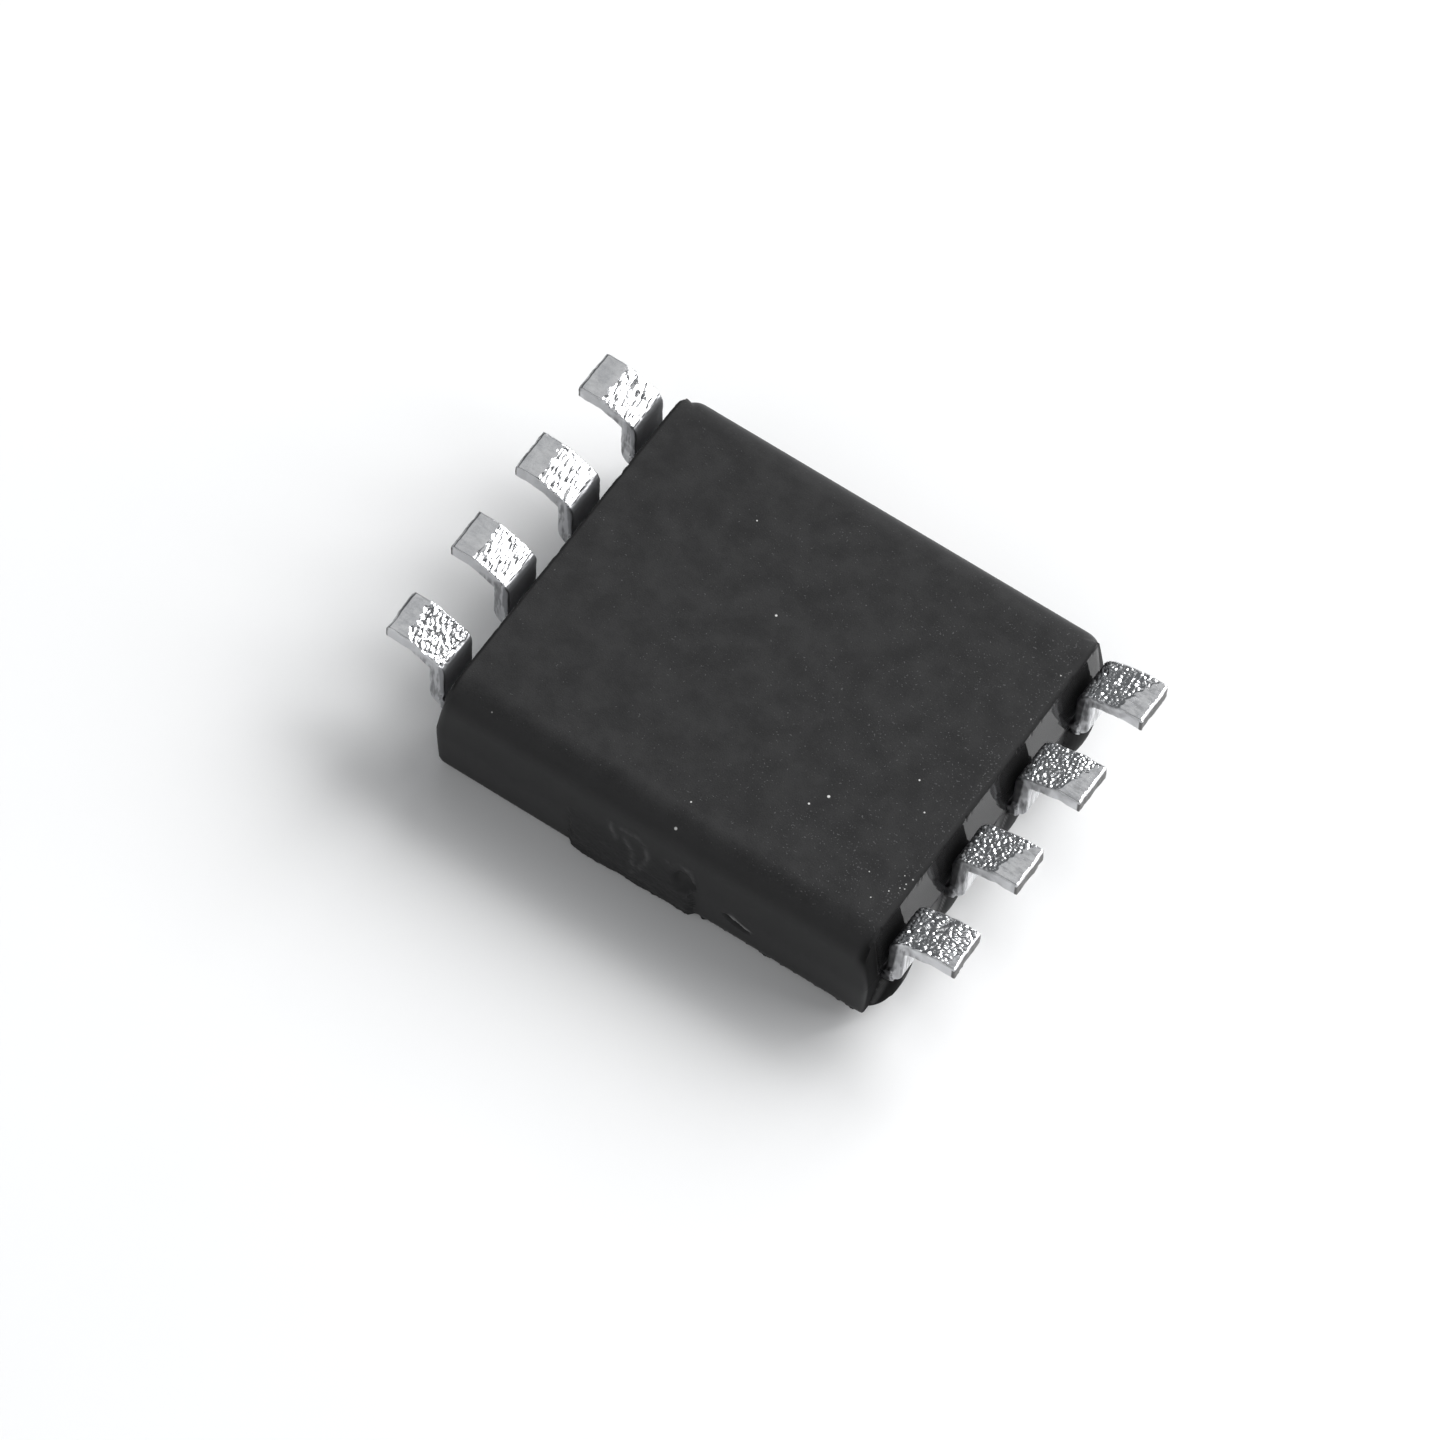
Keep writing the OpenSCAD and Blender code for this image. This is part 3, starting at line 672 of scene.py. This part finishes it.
def shapeCase(p):
    s = caseForm
    halfX, halfY, high = s["width"] / 2, s["length"] / 2, s["height"]
    x, y, boxZ = p.x / mm, p.y / mm, p.z / mm
    onSide, onEnd = abs(x) > halfX - tiny, abs(y) > halfY - tiny
    # edges of the underside, edges of the marking face, upright corners
    ax, z = roundEdge(abs(x), boxZ, halfX, high, s["sideEdge"])
    ay, z = roundEdge(abs(y), z, halfY, high, s["endEdge"])
    radius = s["markingEdge"]
    if x > 0:
        radius += (s["rightEdge"] - radius) * ease(-y, *s["rightEdgeFrom"])
    ax, down = roundEdge(ax, -z, halfX, 0.0, radius)
    radius = s["markingEdge"]
    if y < 0:
        least, most = s["nearEdge"]
        radius = least + (most - least) * ease(x, *s["nearEdgeFrom"])
    ay, down = roundEdge(ay, down, halfY, 0.0, radius)
    z = -down
    radius = s["corner"] if y > 0 else s["nearLeftCorner"] if x < 0 else s["nearRightCorner"]
    ax, ay = roundEdge(ax, ay, halfX, halfY, radius)
    ax *= 1 - draftAt(z, s["softCorner"] * ease(abs(y), halfY - s["softReach"], halfY)) / halfX
    ay *= 1 - draftAt(z, s["softParting"]) / halfY
    if onSide and not onEnd:
        onLine = abs(boxZ - s["parting"]) < tiny
        ax += onLine * s["partingLip"] * (s["lipLeast"] + abs(wave(0, y * s["lipOften"], x)))
        broad, fine = s["wearOften"]
        chipped = max(0.0, wave(x, y * broad, 1.0) + wave(x, y * fine, 4.0) - s["wearLess"])
        ax -= s["edgeWear"] * ease(boxZ, *s["wearFrom"]) * chipped
    if onSide and x > 0:
        ax += lumpAt(y, boxZ)[0]
    if onEnd and y < 0:
        ay += gateRelief(x, boxZ)
        teeth = max(0.0, s["skirtFull"] + uneven(s["skirtTears"], x) + uneven(s["skirtTeeth"], x))
        ay += s["skirt"] * teeth * ease(x, *s["skirtFrom"]) * hump(boxZ - s["skirtAt"], s["skirtTall"])
    if boxZ < tiny:
        away = math.hypot(x - s["dimpleAt"][0], y - s["dimpleAt"][1])
        rim = s["dimple"] / 2
        z += s["dimpleDepth"] * (1.0 - ease(away, rim - s["dimpleWall"], rim))
    return Vector((math.copysign(ax, x), math.copysign(ay, y), z)) * mm


def refineCase(bm):  # finer mesh at the broken gate, the flash, the lumps, the worn edge and the dimple
    s = caseForm
    (left, middle), right = s["gateZone"], s["skirtZone"]
    flanks = [leadFlank(number) for number in lumpForm["reach"]]
    dimpleAt = Vector((*s["dimpleAt"], 0))
    refine(bm, 5, lambda n, c: n.y < -facing and left < c.x < middle and c.z < s["gateZoneTop"])
    refine(bm, 4, lambda n, c: n.y < -facing and middle < c.x < right and c.z < s["skirtZoneTop"])
    refine(bm, 3, lambda n, c: n.x > facing and c.z < s["lumpZoneTop"]
           and min(abs(c.y - flank) for flank in flanks) < s["lumpZone"])
    refine(bm, 2, lambda n, c: n.x > facing and c.z > s["wearFrom"][0])
    refine(bm, 4, lambda n, c: n.z < -facing and (c - dimpleAt).length < s["dimpleZone"])


def buildCase():
    s = caseForm
    halfX, halfY, high, parting = s["width"] / 2, s["length"] / 2, s["height"], s["parting"]
    bm = bmesh.new()
    torn = bm.verts.layers.float.new("torn")
    bmesh.ops.create_cube(bm, size=1.0)
    bmesh.ops.scale(bm, vec=Vector((s["width"], s["length"], high)) * mm, verts=bm.verts)
    bmesh.ops.translate(bm, vec=(0, 0, high / 2 * mm), verts=bm.verts)
    # loops gather at the edges that are rounded
    edgeX, edgeY, edgeZ = halfX - s["corner"], halfY - s["endEdge"], high - s["endEdge"]
    lowest, sideEdge = s["nearEdge"][1], s["sideEdge"]
    insets = [sideEdge * k / s["sideLoops"] for k in range(s["sideLoops"], 0, -1)]
    across = evenly(0, edgeX, s["acrossLoops"]) + [0.0, edgeX]
    across += evenly(edgeX, halfX - sideEdge, s["cornerLoops"]) + [halfX - inset for inset in insets]
    endward = evenly(0, edgeY, s["alongLoops"]) + [0.0, edgeY] + evenly(edgeY, halfY, s["endLoops"])
    upward = evenly(0, lowest, s["lowLoops"]) + [lowest] + evenly(lowest, parting, s["wallLoops"])
    upward += [parting] + evenly(parting, edgeZ, s["wallLoops"]) + [edgeZ]
    upward += evenly(edgeZ, high - sideEdge, s["topLoops"]) + [high - inset for inset in insets]
    cutAcross(bm, 0, sorted(set(across + [-p for p in across])))
    cutAcross(bm, 1, sorted(set(endward + [-p for p in endward])))
    cutAcross(bm, 2, upward)
    refineCase(bm)
    for v in bm.verts:
        v[torn] = paleTornAndGlintAt(v.co)
        v.co = shapeCase(v.co)
    bmesh.ops.recalc_face_normals(bm, faces=bm.faces)
    print("case:", len(bm.faces), "faces")
    keepPiece(bm, "mouldedCase", mouldCompound, "molded_body", s["sharp"])


buildCase()

# gull-wing leads: each keeps its inner end from the frame, and the part outside is formed anew
leadForm = {
    "pitch": 1.27, "width": 0.57, "sheet": 0.21, "span": 7.62, "wall": 2.91, "parting": 0.78, "sole": 1.75,
    "sharp": 50.0, "seed": (7.3, 3.9, 5.1),
    "legGap": {1: 0.03, -1: 0.065}, "lean": 1.0, "rootBend": 0.05,
    # the heel's turn, its slope above the turn, and the bend from there into the sole
    "heelBend": {1: 0.06, -1: 0.01}, "slope": {1: 17.5, -1: 23.0}, "slopeRun": {1: 0.30, -1: 0.297},
    "footBend": {1: 0.22, -1: 0.09},
    "insideCut": 2.72, "insideStart": 2.70,
    "edge": 0.022, "acrossCount": 68, "throughCount": 6, "insideSteps": 4, "rootSteps": 10, "legSteps": 14,
    "step": 0.0092,
    # the tip: rolled edge, blunt corners, ragged and skewed end
    "tipRoll": {1: 0.04, -1: 0.065}, "tipCorner": 0.025, "tipSkew": 0.02, "skewSeed": 1.7,
    "tipInset": 0.016, "tipRagged": 0.012, "tipOften": (11.0, 6.0), "tipBow": 0.012, "bowOften": 5.0,
    "tipReach": 0.12,
    # stubs of the dam bar, torn off
    "damProud": {1: 0.028, -1: 0.012}, "damZone": (0.71, 0.96), "damDepth": 3.03,
    "damRagged": 0.05, "damOften": (16.0, 9.0), "damTorn": 0.4, "damGrain": 0.05,
    # pebbled plating on the heels: cell size, depth, its stretch along X and Y by lead
    "pebble": 0.052, "pebbleWarp": 0.35, "pebbleFrom": {1: (1.38, 1.48), -1: (1.50, 1.57)},
    "upperTilt": 0.8, "upperFrom": (0.35, 0.55), "wrinkledLeast": 0.01,
    "pebbleDepth": {1: 0.046, 2: 0.018, 3: 0.018, 4: 0.018, 5: 0.031, 6: 0.034, 7: 0.036, 8: 0.036},
    "stretch": {1: (0.75, 1.6), 2: (0.62, 2.6), 3: (0.62, 2.6), 4: (0.62, 2.4),
                5: (0.85, 0.95), 6: (0.8, 0.8), 7: (0.8, 0.8), 8: (1.1, 0.75)},
    # deeper on the right-hand heels' turn, flatter where the tool pressed
    "turnedMore": {1: 0.8, -1: 0.0}, "turnedFrom": (0.35, 0.75), "flatter": 0.5, "flatterFrom": (3.48, 3.60),
    # where the forming tool pressed the sole flat, and that line's slant
    "pressed": {1: (3.51, 0.03), 2: (3.49, 0.02), 3: (3.50, 0.02), 4: (3.44, 0.0),
                5: (3.54, 0.10), 6: (3.56, 0.18), 7: (3.53, 0.18), 8: (3.70, 0.05)},
    "pressedFade": 0.04, "pressedTears": ((0.10, 4.0, 0.3), (0.05, 14.0, 2.3)),
    # shallow dents all over, and ragged sides
    "dents": ((0.003, 6.0), (0.001, 17.0)), "dented": 0.003,
    "sideRagged": 0.010, "sideOften": 9.0, "sideReach": 0.03,
}


def outside(bm, inner):  # faces that aren't the frame's own inner end
    return [f for f in bm.faces if f.verts[0] not in inner]


def pushOut(bm, cap, step, count):  # lengthens the bar by its end face
    for _ in range(count):
        made = bmesh.ops.extrude_face_region(bm, geom=withBounds(cap))
        cap = [g for g in made["geom"] if isinstance(g, bmesh.types.BMFace)]
        bmesh.ops.translate(bm, vec=step / count, verts=vertsOf(cap))
    return cap


def swingRound(bm, cap, middle, angle, steps):  # bends the bar about an axis along Y
    turn = {"cent": middle, "axis": (0, 1, 0), "angle": angle, "steps": steps}
    made = bmesh.ops.spin(bm, geom=withBounds(cap), use_merge=False, **turn)
    return [g for g in made["geom_last"] if isinstance(g, bmesh.types.BMFace)]


def startSection(bm, inner):  # the sheet's section, with its edges eased
    s = leadForm
    half, thin, edge = s["width"] / 2, s["sheet"] / 2, s["edge"]
    made = bmesh.ops.create_grid(bm, x_segments=1, y_segments=1, size=0.5)
    bmesh.ops.scale(bm, vec=(s["sheet"] * mm, s["width"] * mm, 1.0), verts=made["verts"])
    for axis, size, count in ((0, thin, s["throughCount"]), (1, half, s["acrossCount"])):
        normal = Vector((1.0, 0, 0)) if axis == 0 else Vector((0, 1.0, 0))
        places = evenly(-size + edge, size - edge, count)
        places += [sign * (size - edge * k / 2) for sign in (-1, 1) for k in (2, 1)]
        for place in places:
            cut = {"plane_co": normal * place * mm, "plane_no": normal, "dist": 1e-9}
            bmesh.ops.bisect_plane(bm, geom=withBounds(outside(bm, inner)), **cut)
    faces = outside(bm, inner)
    verts = vertsOf(faces)
    for v in verts:
        x, y = roundEdge(abs(v.co.x) / mm, abs(v.co.y) / mm, thin, half, edge)
        v.co.x = math.copysign(x * mm, v.co.x)
        v.co.y = math.copysign(y * mm, v.co.y)
    quarter = Quaternion((0, 1, 0), math.radians(90)).to_matrix()
    bmesh.ops.rotate(bm, cent=(0, 0, 0), matrix=quarter, verts=verts)
    bmesh.ops.translate(bm, vec=Vector((s["insideStart"], 0, s["parting"])) * mm, verts=verts)
    return faces


def blunted(v, p, seed, side):  # the shears rolled the tip's edge over and left its corners blunt
    s = leadForm
    half, tip = s["width"] / 2, s["span"] / 2
    x, y, z = v.co / mm
    x, z = roundEdge(x, z, tip, s["sole"], s["tipRoll"][side])
    x, aside = roundEdge(x, abs(y), tip, half, s["tipCorner"])
    y = math.copysign(aside, y)
    overY, overZ = s["tipOften"]
    inset = s["tipInset"]
    inset += s["tipRagged"] * abs(noise.noise(Vector((p.y * overY, p.z * overZ, 0.0)) + seed))
    inset += s["tipSkew"] * noise.noise(seed * s["skewSeed"]) * p.y / half
    inset += s["tipBow"] * noise.noise(Vector((p.y * s["bowOften"], 1.0, 1.0)) + seed)
    x -= max(0.0, inset) * ease(p.x, tip - s["tipReach"], tip)
    return Vector((x, y, min(z, s["sole"]))) * mm


def pebbled(p, n, number, side, seed):  # depth between the pebbles here, and the share of it at this point
    s = leadForm
    alongX, alongY = (s["pebble"] * share for share in s["stretch"][number])
    q = Vector((p.x / alongX, p.y / alongY, p.z / alongX)) + seed
    q += s["pebbleWarp"] * Vector((noise.noise(q), noise.noise(q + seed), noise.noise(q - seed)))
    depth = s["pebbleDepth"][number] * (1.0 + s["turnedMore"][side] * ease(-n.x, *s["turnedFrom"]))
    depth *= 1.0 - s["flatter"] * ease(p.x, *s["flatterFrom"])
    return depth, noise.voronoi(q)[0][0] ** 2


def wearLead(bm, outer, number, side):
    s = leadForm
    half = s["width"] / 2
    seed = Vector([number * share for share in s["seed"]])
    wrinkled = bm.verts.layers.float["wrinkled"]
    pressed, slant = s["pressed"][number]
    (broad, often), (fine, oftener) = s["dents"]
    bm.normal_update()
    for v in outer:
        p, n = v.co / mm, v.normal.copy()
        ragged = 0.0
        for amount, waves, layer in s["pressedTears"]:
            ragged += amount * noise.noise(Vector((p.y * waves, layer, 0.0)) + seed)
        upper = ease(n.z - s["upperTilt"] * n.x, *s["upperFrom"]) * ease(p.z, *s["pebbleFrom"][side])
        edge = pressed + slant * p.y / half
        v[wrinkled] = upper * (1.0 - ease(p.x + ragged, edge - s["pressedFade"], edge + s["pressedFade"]))
        rough = broad * noise.noise(p * often + seed) + fine * noise.noise(p * oftener + seed) - s["dented"]
        if v[wrinkled] > s["wrinkledLeast"]:
            depth, sunk = pebbled(p, n, number, side, seed)
            rough -= depth * v[wrinkled] * sunk
        move = n * rough
        nearSide = ease(abs(p.y), half - s["sideReach"], half)
        move.y += s["sideRagged"] * noise.noise(p * s["sideOften"] + seed) * nearSide
        v.co = v.co + move * mm
        v.co = blunted(v, p, seed, side)


def addDamStubs(bm, outerFaces, number, side):  # torn metal on both sides of the leg's foot
    s = leadForm
    low, high = s["damZone"]
    overX, overZ = s["damOften"]
    flanks = {-1.0: [], 1.0: []}
    for f in outerFaces:
        x, _, z = f.calc_center_median() / mm
        ragged = s["damRagged"] * noise.noise(Vector((x * overX, z * overZ, number)))
        atFoot = low < z + ragged < high and s["wall"] < x + ragged < s["damDepth"]
        if abs(f.normal.y) > facing and atFoot:
            flanks[math.copysign(1.0, f.normal.y)].append(f)
    for edgeSide, flank in flanks.items():
        stub = bmesh.ops.extrude_face_region(bm, geom=withBounds(flank))["geom"]
        stubVerts = [g for g in stub if isinstance(g, bmesh.types.BMVert)]
        bmesh.ops.translate(bm, vec=(0, edgeSide * s["damProud"][side] * mm, 0), verts=stubVerts)
        seed = Vector((number, edgeSide, 0))
        for v in stubVerts:
            torn = noise.noise(v.co / (s["damGrain"] * mm) + seed)
            v.co.y += s["damTorn"] * s["damProud"][side] * torn * mm


def startLead(bm, number, side):  # a merged copy of the frame's own lead, cut off behind the wall
    bm.from_mesh(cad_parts[f"lead_{number}"].data)
    bmesh.ops.remove_doubles(bm, verts=bm.verts, dist=merging)
    bm.verts.layers.float.new("wrinkled")
    cutAt = Vector((side * leadForm["insideCut"] * mm, 0, 0))
    bmesh.ops.bisect_plane(bm, geom=everything(bm), plane_co=cutAt, plane_no=(side, 0, 0), clear_outer=True)
    bmesh.ops.holes_fill(bm, edges=[e for e in bm.edges if e.is_boundary], sides=0)
    return set(bm.verts)


def formLead(bm, inner, side):  # out of the wall, up the leg and out along the sole
    s = leadForm
    thin, slopeRun = s["sheet"] / 2, s["slopeRun"][side]
    legX = s["wall"] + s["legGap"][side] + thin
    lean, slope = math.radians(s["lean"]), math.radians(s["slope"][side])
    turn = math.pi / 2 - lean
    rootBend = s["rootBend"] + thin
    heelBend, footBend = s["heelBend"][side] + thin, s["footBend"][side] + thin
    rootRun = rootBend * math.tan(turn / 2)
    up = Vector((math.sin(lean), 0, math.cos(lean)))
    rising = Vector((math.cos(slope), 0, math.sin(slope)))
    # each bend's middle follows from where the bend begins
    footDrop = footBend * (1 - math.cos(slope))
    heelDrop = heelBend * (math.cos(slope) - math.cos(turn))
    heelFoot = s["sole"] - thin - footDrop - slopeRun * math.sin(slope) - heelDrop
    rootMiddle = Vector((legX - rootRun, 0, s["parting"] + rootBend))
    legStart = Vector((legX, 0, s["parting"])) + up * rootRun
    legEnd = legStart + up * ((heelFoot - legStart.z) / up.z)
    heelMiddle = legEnd + Vector((up.z, 0, -up.x)) * heelBend
    slopeStart = heelMiddle + Vector((-rising.z, 0, rising.x)) * heelBend
    slopeEnd = slopeStart + rising * slopeRun
    footMiddle = slopeEnd + Vector((rising.z, 0, -rising.x)) * footBend
    soleRun = s["span"] / 2 - footMiddle.x
    # even steps over the heel and the sole
    runs = (heelBend + thin) * (turn - slope), slopeRun, (footBend + thin) * slope, soleRun
    heelSteps, slopeSteps, footSteps, soleSteps = (round(run / s["step"]) for run in runs)
    cap = startSection(bm, inner)
    cap = pushOut(bm, cap, Vector((legX - rootRun - s["insideStart"], 0, 0)) * mm, s["insideSteps"])
    cap = swingRound(bm, cap, rootMiddle * mm, -turn, s["rootSteps"])
    cap = pushOut(bm, cap, (legEnd - legStart) * mm, s["legSteps"])
    cap = swingRound(bm, cap, heelMiddle * mm, turn - slope, heelSteps)
    cap = pushOut(bm, cap, (slopeEnd - slopeStart) * mm, slopeSteps)
    cap = swingRound(bm, cap, footMiddle * mm, slope, footSteps)
    pushOut(bm, cap, Vector((soleRun, 0, 0)) * mm, soleSteps)


def buildLead(number):
    s = leadForm
    side = -1 if number <= perRow else 1
    bm = bmesh.new()
    inner = startLead(bm, number, side)
    formLead(bm, inner, side)
    outerFaces = outside(bm, inner)
    bmesh.ops.recalc_face_normals(bm, faces=outerFaces)
    addDamStubs(bm, outerFaces, number, side)
    outer = [v for v in bm.verts if v not in inner]
    wearLead(bm, outer, number, side)
    bmesh.ops.translate(bm, vec=(0, rowPlace(number) * s["pitch"] * mm, 0), verts=outer)
    if side < 0:
        bmesh.ops.scale(bm, vec=(-1.0, 1.0, 1.0), verts=outer)
        bmesh.ops.reverse_faces(bm, faces=outside(bm, inner))
    if number == 1:
        print("lead:", len(bm.faces), "faces each")
    keepPiece(bm, f"gullWing{number}", tinPlating, f"lead_{number}", s["sharp"])


for number in range(1, 2 * perRow + 1):
    buildLead(number)
print("leads formed")

# inner nodes keep their solids and get their own finish
innerDress = {"die_pad": "frameCopper", "die_attach": "dieGlue", "die": "polishedSilicon"}
for name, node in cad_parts.items():
    finish = "goldWire" if name.startswith("bond_wire") else innerDress.get(name)
    if finish:
        node.data.materials.clear()
        node.data.materials.append(innerMaterials[finish])
print("inner pieces dressed")

# plain pale floor with a slight gloss
floorForm = {
    "reach": 900.0, "segments": 8, "patch": 4.0, "rough": (0.16, 0.22),
    "low": (0.88, 0.885, 0.89, 1), "high": (0.91, 0.912, 0.915, 1),
}


def layFloor():
    s = floorForm
    bm = bmesh.new()
    grid = {"x_segments": s["segments"], "y_segments": s["segments"], "size": s["reach"] * mm}
    bmesh.ops.create_grid(bm, **grid)
    mesh = bpy.data.meshes.new("paleFloor")
    bm.to_mesh(mesh)
    bm.free()
    material, tree, shader, place = startMaterial("paleFloor")
    patch = cloudy(tree, place, s["patch"])
    tree.links.new(blendTone(tree, patch, s["low"], s["high"]), shader.inputs["Base Color"])
    tree.links.new(blendValue(tree, patch, *s["rough"]), shader.inputs["Roughness"])
    mesh.materials.append(material)
    floor = bpy.data.objects.new("paleFloor", mesh)
    scene.collection.objects.link(floor)


layFloor()
print("floor laid")
